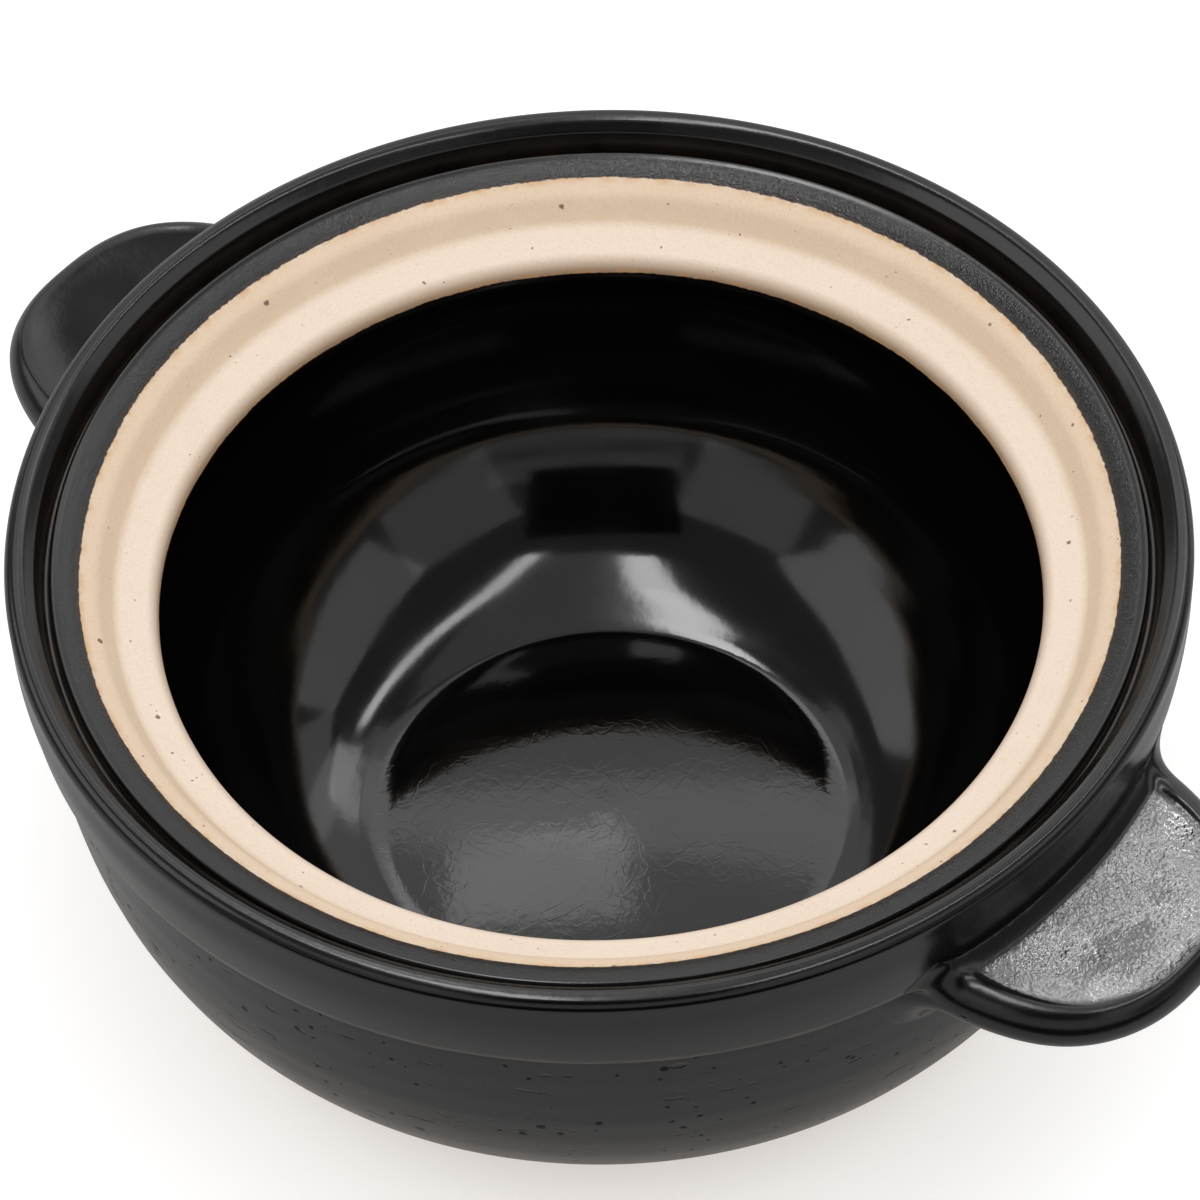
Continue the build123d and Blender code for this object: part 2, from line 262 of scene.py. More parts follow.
# The section from the axis under the pot, over the wall, to the axis on the floor
def potSection(shape):
    rounds, steps = shape["rounds"], shape["steps"]
    recess = shape["footRecess"]
    footInner, footOuter, top = (shape["footInner"], 0), (shape["footOuter"], 0), shape["footTop"]
    leadStart, leadEnd = (np.array((footInner[0] - lead, recess)) for lead in shape["footLead"])
    runs = {"under": refine([np.array((0.0, recess)), leadStart], steps["under"])}
    runs["foot"] = [
        leadEnd, *arcAt(footInner, (footInner[0], recess), footOuter, *rounds["footInner"]),
        *refine(arcAt(footOuter, footInner, top, *rounds["footOuter"]), steps["foot"])]
    runs["neck"] = arcAt(top, footOuter, shape["wall"][0], *rounds["neck"])
    runs["wall"] = smoothRun([runs["neck"][-1], *shape["wall"], shape["wallTop"]], steps["wall"])
    runs["crease"] = arcAt(shape["crease"], shape["wallTop"], shape["collarMiddle"],
                           *rounds["crease"])
    bead = shape["bead"]
    beadCentre = np.array((shape["lipRadius"] - bead, shape["height"] - bead))
    lipAngles = np.radians(np.linspace(*shape["lipTurn"], shape["lipPoints"]))
    lip = circleRun(beadCentre, bead, lipAngles)
    runs["collar"] = smoothRun([runs["crease"][-1], shape["collarMiddle"], lip[0]], steps["collar"])
    runs["lip"] = lip
    runs["seat"] = [
        *arcAt(shape["bandFoot"], lip[-1], shape["grooveOuter"], *rounds["bandFoot"]),
        *arcAt(shape["grooveOuter"], shape["bandFoot"], shape["grooveInner"], *rounds["groove"]),
        *arcAt(shape["grooveInner"], shape["grooveOuter"], shape["ridgeOuter"], *rounds["groove"]),
        *arcAt(shape["ridgeOuter"], shape["grooveInner"], shape["ridge"][0], *rounds["ridgeOuter"])]
    runs["ridge"] = smoothRun([runs["seat"][-1], *shape["ridge"], shape["seatEdge"]], steps["ridge"])
    runs["slope"] = [
        *arcAt(shape["shoulder"], shape["seatEdge"], shape["slopeFoot"], *rounds["shoulder"]),
        *arcAt(shape["slopeFoot"], shape["shoulder"], shape["ledgeInner"], *rounds["slopeFoot"])]
    fall, edgeRound = math.radians(shape["ledgeFall"]), shape["ledgeRound"]
    downhill = np.array((math.sin(fall), -math.cos(fall)))
    edgeCentre = np.array(shape["ledgeInner"]) + edgeRound * downhill
    edgeAngles = np.linspace(math.pi / 2 + fall, math.pi, shape["ledgePoints"])
    runs["edge"] = circleRun(edgeCentre, edgeRound, edgeAngles)
    runs["bowl"] = smoothRun([runs["edge"][-1], *shape["bowl"], shape["floorEdge"]], steps["bowl"])
    flat = shape["floorRadius"]
    runs["floor"] = [np.array((r, shape["floorHeight"] + shape["floorDome"] * (1 - (r / flat) ** 2)))
                     for r in np.linspace(flat, 0, shape["floorPoints"])]
    points = [runs["under"][0]]
    for name, run in runs.items():
        points = points + refine([points[-1], *run], shape["gaps"][name])[1:]
    return np.array(points)


# Unit normals of the section, pointing out of the clay
def sectionNormals(points):
    along = np.gradient(points, axis=0)
    along /= np.linalg.norm(along, axis=1)[:, None]
    return np.stack((along[:, 1], -along[:, 0]), axis=1)


# A sum of sines round the pot: count, phase and height
def wave(angle, *terms):
    return sum(height * np.sin(count * angle + phase) for count, phase, height in terms)


def bell(values, middle, width):
    return np.exp(-((values - middle) / width) ** 2)


def softStep(values, middle, width):
    return 1 / (1 + np.exp(-(values - middle) / width))


# How far the outer wall lies in from its plain section: throwing rings and dents
def wallSink(height, angle):
    w = wallWaves
    turn = angle / (2 * math.pi)
    ring = np.sin(2 * math.pi * (height / w["ringPitch"] - turn)
                  + wave(angle, *w["ringTerms"]) + np.sin(height / w["ringBend"]))
    dents = (wave(angle + height / w["dentLean"], *w["dentTerms"])
             * np.sin(height / w["dentPitch"] + wave(angle, w["dentTurn"])))
    (low, lowSpan), (high, highSpan, least) = w["fadeLow"], w["fadeHigh"]
    fade = np.clip((height - low) / lowSpan, 0, 1) * np.clip((high - height) / highSpan, least, 1)
    return fade * (w["ringDepth"] * (0.5 + 0.5 * ring) + w["dentDepth"] * (0.5 + 0.25 * dents))


# The same for the bowl inside, by path length
def bowlSink(s, angle):
    b = bowlWaves
    (top, topSpan), (floor, floorSpan, least) = b["fadeTop"], b["fadeFloor"]
    fade = (np.clip((s - marks["bowlGlaze"] - top) / topSpan, 0, 1)
            * np.clip((marks["floorEdge"] + floor - s) / floorSpan, least, 1))
    turn = angle / (2 * math.pi)
    ring = np.sin(2 * math.pi * (s / b["ringPitch"] + turn) + wave(angle, b["ringTerms"]))
    dents = wave(angle + s / b["dentLean"], *b["dentTerms"])
    return fade * (b["ringDepth"] * (1 + ring) + b["dentDepth"] * (1 + dents))


# Up and down wobble of the crease line
def creaseShift(angle):
    return wallWaves["creaseWobble"] * wave(angle, *wallWaves["creaseTerms"])


# One smooth mesh object, in metres, with its own float attributes
def makeMesh(name, vertices, faces, attributes):
    mesh = bpy.data.meshes.new(name)
    mesh.from_pydata((np.asarray(vertices) * mm).tolist(), [], faces)
    mesh.validate()
    for key, values in attributes.items():
        layer = mesh.attributes.new(key, "FLOAT", "POINT")
        layer.data.foreach_set("value", np.asarray(values, np.float32))
    mesh.shade_smooth()
    thing = bpy.data.objects.new(name, mesh)
    bpy.context.scene.collection.objects.link(thing)
    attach(thing, "root")
    return thing


section = potSection(potShape)
normals = sectionNormals(section)
path = np.concatenate(([0], np.cumsum(np.linalg.norm(np.diff(section, axis=0), axis=1))))
print("section points", len(section))


# Path length of the section's point nearest to a corner
def pathAt(radius, height):
    return path[np.argmin(np.hypot(section[:, 0] - radius, section[:, 1] - height))]


marks = {
    "wallGlaze": pathAt(*potShape["glazeBottom"]),
    "crease": pathAt(*potShape["crease"]),
    "lip": pathAt(potShape["lipRadius"] - potShape["bead"], potShape["height"]),
    "ridgeEdge": pathAt(*potShape["ridgeOuter"]) + potShape["rounds"]["ridgeOuter"][0],
    "grooveOuter": pathAt(*potShape["grooveOuter"]),
    "grooveInner": pathAt(*potShape["grooveInner"]),
    "seatGlaze": pathAt(*potShape["seatEdge"]),
    "slopeFoot": pathAt(*potShape["slopeFoot"]),
    "bowlGlaze": pathAt(*potShape["glazeTop"]),
    "floorEdge": pathAt(*potShape["floorEdge"]),
}


# Positive where the clay is bare: distance from the wandering border of the glaze
def bareClay(s, angle):
    border = {}
    for name in ("wall", "seat", "bowl"):
        shift, terms = glazeBorders[name]
        border[name] = marks[name + "Glaze"] + shift + wave(angle, *terms)
    return np.maximum(border["wall"] - s, np.minimum(s - border["seat"], border["bowl"] - s))


# How thin the glaze is at creases, in the groove and at its own border
def thinness(s, clay):
    crease, creaseWidth, creasePast = thinGlaze["crease"]
    groove, grooveWidth = thinGlaze["groove"]
    band, bandSoft, bandBefore, bandPast = thinGlaze["band"]
    border, borderWidth = thinGlaze["border"]
    return (crease * bell(s, marks["crease"] + creasePast, creaseWidth)
            + groove * bell(s, marks["grooveOuter"], grooveWidth)
            + groove * bell(s, marks["grooveInner"], grooveWidth)
            + band * softStep(s, marks["grooveOuter"] - bandBefore, bandSoft)
            * softStep(-s, -marks["grooveInner"] - bandPast, bandSoft)
            + border * bell(clay, -borderWidth, borderWidth))


def makeBody():
    count, rows = potShape["segments"], len(section)
    angle = np.linspace(0, 2 * math.pi, count, endpoint=False)
    angles = np.tile(angle, (rows - 2, 1))
    radius, height, s, outward, upward = (
        np.repeat(values[1:-1, None], count, 1)
        for values in (section[:, 0], section[:, 1], path, normals[:, 0], normals[:, 1]))
    clay = bareClay(s, angles)

    outer = (s > marks["wallGlaze"] - wallWaves["footReach"]) & (s < marks["lip"])
    sink = np.where(outer, wallSink(height, angles), 0) + bowlSink(s, angles)
    sink += 0.5 * potShape["glazeThickness"] * (1 + np.tanh(clay / glazeBorders["softness"]))
    sink += (wallWaves["skin"]
             - wallWaves["ridgeBead"] * bell(s, marks["ridgeEdge"], wallWaves["ridgeBeadWidth"]))
    radius = radius - outward * sink
    height = height - upward * sink
    height = height + bell(s, marks["crease"], wallWaves["creaseReach"]) * creaseShift(angles)
    height = height - wallWaves["lipCrease"] * bell(s, marks["lip"], wallWaves["lipCreaseWidth"])

    rings = np.stack((radius * np.cos(angles), radius * np.sin(angles), height), axis=2)
    rings = rings.reshape(-1, 3)
    first, last = len(rings), len(rings) + 1
    vertices = np.vstack((rings, [(0, 0, section[0][1]), (0, 0, section[-1][1])]))
    top = (rows - 3) * count
    faces = []
    for k in range(count):
        n = (k + 1) % count
        faces.extend((base + k, base + n, base + count + n, base + count + k)
                     for base in range(0, top, count))
        faces.extend(((first, n, k), (last, top + k, top + n)))
    none = np.zeros(len(vertices))
    attributes = {
        "clay": np.append(clay.ravel(), [glazeBorders["underPot"], glazeBorders["bowlMiddle"]]),
        "path": np.append(s.ravel(), [path[0], path[-1]]),
        "thin": np.append(thinness(s, clay).ravel(), [0.0, 0.0]),
        "dish": none, "leanX": none, "leanY": none,
    }
    return makeMesh("potBody", vertices, faces, attributes)


potBody = makeBody()
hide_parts("pot_body")
print("pot body faces", len(potBody.data.polygons))

table = {"radii": (60, 160), "heights": (40, 112), "cell": 0.25}


# Signed distance to the section on a grid of radius and height, for the joint with a handle
def sectionTable():
    radii, heights = (np.arange(*table[key], table["cell"]) for key in ("radii", "heights"))
    line = np.array([p for p, s in zip(section, path) if marks["wallGlaze"] < s < marks["lip"]])
    spots = np.stack(np.meshgrid(radii, heights, indexing="ij"), axis=2).reshape(-1, 2)
    best = np.full(len(spots), 1e9)
    sign = np.ones(len(spots))
    for a, b in zip(line[:-1], line[1:]):
        edge = b - a
        t = np.clip(((spots - a) @ edge) / (edge @ edge), 0, 1)
        away = spots - (a + t[:, None] * edge)
        d = np.hypot(away[:, 0], away[:, 1])
        closer = d < best
        side = np.sign(edge[1] * away[:, 0] - edge[0] * away[:, 1])
        best = np.where(closer, d, best)
        sign = np.where(closer & (side != 0), side, sign)
    return (best * sign).reshape(len(radii), len(heights))


tableValues = sectionTable()


# Distance from the pot's outer wall, with its rings and its crease wobble, outside positive
def bodyDistance(p):
    radius = np.hypot(p[..., 0], p[..., 1])
    angle = np.arctan2(p[..., 1], p[..., 0])
    nearCrease = bell(p[..., 2], potShape["crease"][1], wallWaves["creaseReach"])
    height = p[..., 2] - nearCrease * creaseShift(angle)
    rows, columns = tableValues.shape
    past = 2.001
    u = np.clip((radius - table["radii"][0]) / table["cell"], 0, rows - past)
    v = np.clip((height - table["heights"][0]) / table["cell"], 0, columns - past)
    i, j = u.astype(int), v.astype(int)
    fu, fv = u - i, v - j
    t = tableValues
    plain = ((t[i, j] * (1 - fu) + t[i + 1, j] * fu) * (1 - fv)
             + (t[i, j + 1] * (1 - fu) + t[i + 1, j + 1] * fu) * fv)
    return plain + wallSink(height, angle)


def smoothMin(a, b, k):
    h = np.maximum(k - np.abs(a - b), 0) / k
    return np.minimum(a, b) - h * h * k / 4


# Distance to the outline of the handle in plan: a round end on two straight sides
def planDistance(x, y):
    h = handleShape
    reach, halfWidth, power = h["reach"], h["halfWidth"], h["power"]
    least, flattest = 1e-4, 1e-3
    u = np.maximum(np.abs(x - h["centre"]) / reach, least)
    v = np.maximum(np.abs(y) / halfWidth, least)
    total = u ** power + v ** power
    steepness = (total ** (1 / power - 1)
                 * np.hypot(u ** (power - 1) / reach, v ** (power - 1) / halfWidth))
    end = (total ** (1 / power) - 1) / np.maximum(steepness, flattest)
    return np.where(x > h["centre"], end, np.abs(y) - halfWidth)


# Distance to the wall and one handle together, and to the rim of the handle's dish.
# The side is 1 for +X and -1 for -X.
def handleDistance(p, side):
    h = handleShape
    x, y, z = p[..., 0] * side, p[..., 1] * side, p[..., 2]
    plan = planDistance(x, y)
    (big, bigX, bigY), (small, smallY, smallX) = h["wobble"]
    wobble = big * np.sin(x / bigX + y / bigY) + small * np.sin(y / smallY - x / smallX)
    middle = h["middle"] + wobble
    half = h["thickness"] / 2
    r = h["edgeRadius"]
    a, b = plan + r + wobble * h["edgeWobble"], np.abs(z - middle) - half + r
    lug = np.hypot(np.maximum(a, 0), np.maximum(b, 0)) + np.minimum(np.maximum(a, b), 0) - r
    joined = smoothMin(bodyDistance(p), lug, h["blend"])
    taperEnd, taperSpan = h["dishTaper"]
    taper = np.clip((taperEnd - x) / taperSpan, 0, 1)
    margin = h["dishTip"] + taper * (h["dishRoot"] - h["dishTip"])
    rim = -smoothMin(-(plan + margin), -(h["dishWall"] - np.hypot(x, y)), h["dishCorner"])
    depth = h["dishDepth"] * (1 - np.exp(-np.maximum(-rim, 0) / h["dishSoft"] * h["dishFall"]))
    dish = middle + half - h["dishStep"] + np.where(rim > 0, rim * h["dishBank"], -depth)
    cut = (z - dish) * h["cutScale"]
    return -smoothMin(-joined, -cut, h["dishEdge"]), rim


# A closed surface of four-sided faces round the negative part of a field of samples
def surfaceNet(values, origin, cell):
    inside = values < 0
    shape = np.array(values.shape) - 1
    corners = [(i, j, k) for i in (0, 1) for j in (0, 1) for k in (0, 1)]
    total, hits = np.zeros((*shape, 3)), np.zeros(shape)

    def block(array, c):
        return array[c[0]:c[0] + shape[0], c[1]:c[1] + shape[1], c[2]:c[2] + shape[2]]

    for a in corners:
        for axis in range(3):
            if a[axis]:
                continue
            b = tuple(1 if n == axis else a[n] for n in range(3))
            va, vb = block(values, a), block(values, b)
            crossing = block(inside, a) != block(inside, b)
            t = np.where(crossing, va / np.where(crossing, va - vb, 1), 0)
            spot = np.stack([np.full(shape, float(a[n])) for n in range(3)], axis=-1)
            spot[..., axis] += t
            total += spot * crossing[..., None]
            hits += crossing
    used = hits > 0
    index = np.full(shape, -1)
    index[used] = np.arange(used.sum())
    points = origin + (np.argwhere(used) + total[used] / hits[used][:, None]) * cell
    faces = []
    for axis in range(3):
        other = [n for n in range(3) if n != axis]
        low = [slice(1, -1)] * 3
        low[axis] = slice(0, -1)
        high = list(low)
        high[axis] = slice(1, None)
        va, vb = inside[tuple(low)], inside[tuple(high)]
        for i, j, k in np.argwhere(va != vb):
            quad = []
            for da, db in ((0, 0), (1, 0), (1, 1), (0, 1)):
                c = [i, j, k]
                c[other[0]] += 1 - da
                c[other[1]] += 1 - db
                quad.append(index[tuple(c)])
            if min(quad) < 0:
                continue
            forward = va[i, j, k] != (axis == 1)
            faces.append(quad if forward else quad[::-1])
    return points, faces


# Evens out the net, then moves its points back onto the exact surface
def settle(points, faces, side):
    probe, limit = handleShape["probe"], handleShape["longestMove"]
    corners = np.array(faces)
    ends = np.vstack([corners[:, [a, (a + 1) % 4]] for a in range(4)])
    for smoothing in handleShape["smoothing"]:
        total, hits = np.zeros_like(points), np.zeros(len(points))
        for a, b in ((0, 1), (1, 0)):
            np.add.at(total, ends[:, a], points[ends[:, b]])
            np.add.at(hits, ends[:, a], 1)
        points = points + smoothing * (total / np.maximum(hits, 1)[:, None] - points)
        for _ in range(2):
            d = handleDistance(points, side)[0]
            slope = np.stack([
                (handleDistance(points + step, side)[0] - handleDistance(points - step, side)[0])
                / (2 * probe) for step in np.eye(3) * probe], axis=-1)
            steepness = np.maximum((slope ** 2).sum(-1), handleShape["leastSlope"])
            move = np.clip(d / steepness, -limit, limit)
            points = points - slope * move[:, None]
    return points


# The vertices on the open border of a set of faces
def openBorder(faces):
    count = {}
    for f in faces:
        for a, b in zip(f, (*f[1:], f[0])):
            key = (min(a, b), max(a, b))
            count[key] = count.get(key, 0) + 1
    return sorted({v for key, n in count.items() if n == 1 for v in key})


def makeHandle(name, side):
    h = handleShape
    cell = h["cell"]
    xs, ys, zs = (np.arange(*ends, cell) for ends in h["box"])
    xs = np.sort(xs * side)
    grid = np.stack(np.meshgrid(xs, ys, zs, indexing="ij"), axis=-1)
    values = handleDistance(grid, side)[0]
    points, faces = surfaceNet(values, np.array((xs[0], ys[0], zs[0])), cell)
    points = settle(points, faces, side)

    # Only what stands off the wall stays, and its open border is tucked into the wall
    gap = bodyDistance(points)
    faces = [f for f in faces if max(gap[list(f)]) > h["leastGap"]]
    used = sorted({v for f in faces for v in f})
    renumber = {v: i for i, v in enumerate(used)}
    border = openBorder(faces)
    radial = points[border] * (1, 1, 0)
    radial /= np.linalg.norm(radial, axis=1)[:, None]
    points[border] -= radial * h["tuck"]

    rim = handleDistance(points, side)[1][used]
    kept, gap = points[used], np.abs(gap[used])
    fade, start, lift = h["dishFade"]
    zone = np.clip(-rim / fade + start, 0, 1) * (kept[:, 2] > h["middle"] + lift)
    creaseHeight = potShape["crease"][1] + creaseShift(np.arctan2(kept[:, 1], kept[:, 0]))
    fromCrease = np.where(kept[:, 2] > h["middle"], h["pathAbove"], -h["pathBelow"])
    leanX, leanY = h["lean"][side]
    attributes = {
        "clay": np.full(len(kept), glazeBorders["handles"]),
        "path": marks["crease"] + fromCrease,
        "thin": bell(kept[:, 2], creaseHeight, h["creaseWidth"]) * np.exp(-gap / h["creaseSpread"]),
        "dish": zone * h["crumple"][side],
        "leanX": zone * leanX,
        "leanY": zone * leanY,
    }
    return makeMesh(name, kept, [[renumber[v] for v in f] for f in faces], attributes)


handleRight = makeHandle("handleRight", 1)
handleLeft = makeHandle("handleLeft", -1)
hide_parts("handle_right")
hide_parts("handle_left")
print("handle faces", len(handleRight.data.polygons))


# Short ways to add and join shader nodes
class Nodes:
    def __init__(self, material):
        material.use_nodes = True
        self.tree = material.node_tree
        self.tree.nodes.clear()

    def feed(self, socket, value):
        if isinstance(value, bpy.types.NodeSocket):
            self.tree.links.new(value, socket)
        elif isinstance(value, tuple) and len(value) == 3 and socket.type == "RGBA":
            socket.default_value = (*value, 1.0)
        else:
            socket.default_value = value

    def add(self, kind, inputs=None, **settings):
        node = self.tree.nodes.new(kind)
        for key, value in settings.items():
            setattr(node, key, value)
        for key, value in (inputs or {}).items():
            self.feed(node.inputs[key], value)
        return node

    def math(self, operation, a, b=0.0, c=0.0, clamp=False):
        return self.add("ShaderNodeMath", {0: a, 1: b, 2: c}, operation=operation,
                        use_clamp=clamp).outputs[0]

    def plus(self, a, b, clamp=False):
        return self.math("ADD", a, b, clamp=clamp)

    def minus(self, a, b, clamp=False):
        return self.math("SUBTRACT", a, b, clamp=clamp)

    def times(self, a, b):
        return self.math("MULTIPLY", a, b)

    def vector(self, operation, *inputs):
        return self.add("ShaderNodeVectorMath", dict(enumerate(inputs)),
                        operation=operation).outputs[0]

    def vectorOf(self, *values):
        return self.add("ShaderNodeCombineXYZ", dict(enumerate(values))).outputs[0]

    def noise(self, vector, name):
        scale, detail, *rough = noises[name]
        inputs = {"Vector": vector, "Scale": scale, "Detail": detail}
        if rough:
            inputs["Roughness"] = rough[0]
        return self.add("ShaderNodeTexNoise", inputs).outputs["Fac"]

    def noiseColour(self, vector, scale, detail):
        return self.add("ShaderNodeTexNoise", {
            "Vector": vector, "Scale": scale, "Detail": detail}).outputs["Color"]

    def bend(self, vector, name):
        scale, detail, reach = bends[name]
        return self.vector("MULTIPLY_ADD", self.noiseColour(vector, scale, detail), reach, vector)

    def stretch(self, vector, name):
        return self.add("ShaderNodeMapping", {
            "Vector": vector, "Scale": stretches[name]}).outputs["Vector"]

    def cells(self, vector, name, **settings):
        return self.add("ShaderNodeTexVoronoi", {
            "Vector": vector, "Scale": cellScales[name], "Randomness": 1.0}, **settings).outputs

    def split(self, colour):
        return self.add("ShaderNodeSeparateColor", {"Color": colour}).outputs

    def span(self, value, low, high, toLow=0.0, toHigh=1.0):
        return self.add("ShaderNodeMapRange", {
            "Value": value, "From Min": low, "From Max": high,
            "To Min": toLow, "To Max": toHigh}).outputs["Result"]

    # One between the first two marks and the last two, and none outside
    def window(self, value, fromLow, fromHigh, toHigh, toLow):
        return self.times(self.span(value, fromLow, fromHigh), self.span(value, toLow, toHigh))

    def mix(self, factor, a, b):
        node = self.add("ShaderNodeMix", data_type="RGBA")
        for name, value in (("Factor", factor), ("A", a), ("B", b)):
            kind = "VALUE" if name == "Factor" else "RGBA"
            self.feed(next(s for s in node.inputs if s.name == name and s.type == kind), value)
        return next(s for s in node.outputs if s.type == "RGBA")

    def value(self, name):
        return self.add("ShaderNodeAttribute", attribute_name=name).outputs["Fac"]

    def bump(self, height, distance, strength, normal=None):
        inputs = {"Height": height, "Distance": distance, "Strength": strength}
        if normal is not None:
            inputs["Normal"] = normal
        return self.add("ShaderNodeBump", inputs).outputs["Normal"]


# Dark spots of iron in the clay: some cells of a pattern, each with its own size
def ironSpots(n, place, name):
    small, large, soft = clayPaint[name]
    cells = n.cells(place, name)
    pick = n.split(cells["Color"])
    size = n.times(n.span(pick[0], clayPaint["spotlessShare"], 1.0),
                   n.span(pick[1], 0.0, 1.0, small, large))
    return n.span(n.minus(size, cells["Distance"]), 0.0, soft), pick


def clayShader(n, place, clay, path):
    c = clayPaint
    grain = n.noise(place, "grain")
    # Paler on the flat ledge than on the shoulder and slope: partly the clay's own tone, partly
    # painted light on the ledge
    litLedge = n.span(path, marks["slopeFoot"] - 0.6, marks["slopeFoot"] + 1.4)
    mottle = n.plus(n.span(n.noise(place, "cloud"), 0.35, 0.65, -0.12, 0.12),
                    n.span(grain, 0.25, 0.75, -0.10, 0.10))
    colour = n.mix(n.plus(litLedge, mottle, clamp=True), c["colour"], c["litLedgeColour"])
    # Painted shade: the clay darkens towards its darkest colour just before the bowl's glaze, where
    # the ledge rounds down into the bowl
    turned = n.span(path, marks["bowlGlaze"] - 4.2, marks["bowlGlaze"] + 0.5)
    colour = n.mix(turned, colour, c["sandAndShade"])
    flash = n.times(n.span(clay, 1.6, 0.0), n.span(n.noise(place, "flash"), 0.42, 0.62))
    colour = n.mix(n.times(flash, c["flashShare"]), colour, c["flash"])
    sand = n.span(n.noise(place, "sand"), 0.45, 0.75, 0.0, c["sandShare"])
    colour = n.mix(sand, colour, c["sandAndShade"])
    bent = n.bend(place, "spots")
    speck = ironSpots(n, bent, "spots")[0]
    dot, dotPick = ironSpots(n, bent, "dots")
    marked = n.math("MAXIMUM", n.times(speck, c["speckShare"]),
                    n.times(dot, n.span(dotPick[2], 0.0, 1.0, 0.2, 1.0)))
    colour = n.mix(marked, colour, c["speck"])
    relief = n.plus(n.times(grain, c["grainDepth"]), n.noise(place, "clayWave"))
    return n.add("ShaderNodeBsdfPrincipled", {
        "Base Color": colour, "Roughness": c["roughness"], "Specular IOR Level": c["specular"],
        "Normal": n.bump(relief, c["bumpDepth"], c["bumpStrength"])})


# Facets and swells that turn the normal on a crumpled dish, and its lean as a whole
def dishNormal(n, place, folds, dish):
    middle = (0.5, 0.5, 0.5)
    facets = n.cells(folds, "flakes")["Color"]
    swell = n.noiseColour(place, *glazePaint["swellNoise"])
    normal = n.add("ShaderNodeNewGeometry").outputs["Normal"]
    for colour, reach in ((facets, glazePaint["facetLean"]), (swell, glazePaint["swell"])):
        turn = n.vector("MULTIPLY", n.vector("SUBTRACT", colour, middle), reach)
        normal = n.vector("MULTIPLY_ADD", turn, n.vectorOf(dish, dish, dish), normal)
    lean = n.vectorOf(n.value("leanX"), n.value("leanY"))
    return n.vector("NORMALIZE", n.vector("ADD", normal, lean))


def glazeShader(n, place, path):
    g = glazePaint
    thin, dish = n.value("thin"), n.value("dish")
    thinWave = n.span(n.noise(place, "thinWave"), 0.3, 0.7, 0.3, 1.0)
    thinHere = n.math("MULTIPLY", thin, thinWave, clamp=True)
    tone = n.mix(thinHere, g["colour"], g["thin"])

    # Where things are: in the bowl, on its floor, on the ridge, on bright edges, low on the wall
    bowl = n.span(path, marks["bowlGlaze"] - 2.0, marks["bowlGlaze"] + 4.0)
    onFloor = n.span(path, marks["floorEdge"] - 3.0, marks["floorEdge"] + 3.0)
    satin = n.window(path, marks["ridgeEdge"] + 0.9, marks["ridgeEdge"] + 1.6,
                     marks["seatGlaze"] + 1.0, marks["seatGlaze"] + 2.0)
    onLip = n.window(path, marks["lip"] - 8.0, marks["lip"] - 5.0,
                     marks["lip"] + 3.0, marks["lip"] + 5.0)
    onEdge = n.window(path, marks["ridgeEdge"] - 1.2, marks["ridgeEdge"] - 0.7,
                      marks["ridgeEdge"] + 0.8, marks["ridgeEdge"] + 1.3)
    low = n.span(path, marks["crease"] + 1.0, marks["crease"] - 2.0)
    lowWall = n.minus(low, dish, clamp=True)

    rough = n.plus(g["roughness"], n.span(n.noise(place, "cloud"), 0.3, 0.7, -0.02, 0.03))
    for share, name in ((bowl, "bowlRoughness"), (satin, "rimRoughness"),
                        (n.math("MAXIMUM", onLip, onEdge), "lipRoughness"), (dish, "dishRoughness")):
        rough = n.plus(rough, n.times(share, g[name] - g["roughness"]))
    rough = n.minus(rough, n.times(onFloor, g["floorPolish"]))

    # Pinholes and nicks low on the wall
    bent, folds = n.bend(place, "spots"), n.bend(place, "folds")
    pits = n.cells(bent, "pits")
    pitSize = n.times(n.span(n.split(pits["Color"])[0], 0.35, 1.0),
                      n.span(n.noise(place, "pitPatch"), 0.33, 0.60, 0.0, 0.26))
    closed = n.span(n.minus(pits["Distance"], pitSize), 0.0, 0.08)
    pit = n.times(n.minus(1.0, closed), lowWall)
    nick = n.times(n.span(n.noise(n.stretch(bent, "nicks"), "nicks"), 0.69, 0.76), lowWall)

    peelDepth = n.span(bowl, 0.0, 1.0, g["peelDepth"], g["bowlPeelDepth"])
    drag = n.times(n.noise(n.stretch(place, "drag"), "drag"), low)
    crumple = n.plus(n.times(n.noise(place, "crumpleFine"), g["crumpleFine"]),
                     n.times(n.noise(folds, "crumpleFold"), g["crumpleFold"]))
    edges = n.cells(n.bend(place, "craze"), "craze", feature="DISTANCE_TO_EDGE")["Distance"]
    craze = n.plus(n.span(edges, 0.0, 0.06, g["crackDepth"], 0.0),
                   n.times(n.noise(folds, "swirl"), g["swirlDepth"]))
    grit = n.times(n.noise(place, "grit"), g["gritDepth"])
    height = n.plus(n.times(n.noise(place, "peel"), peelDepth), n.times(drag, g["dragDepth"]))
    height = n.minus(height, n.times(pit, g["pitDepth"]))
    height = n.minus(height, n.times(nick, g["nickDepth"]))
    for relief, share in ((crumple, dish), (craze, onFloor), (grit, satin)):
        height = n.plus(height, n.times(relief, share))

    return n.add("ShaderNodeBsdfPrincipled", {
        "Base Color": tone, "Roughness": rough,
        "IOR": n.math("MULTIPLY_ADD", dish, g["dishIor"], g["ior"]),
        "Specular IOR Level": n.math("MULTIPLY_ADD", pit, g["pitDull"], g["specular"]),
        "Normal": n.bump(height, g["bumpDepth"], 1.0, dishNormal(n, place, folds, dish))})


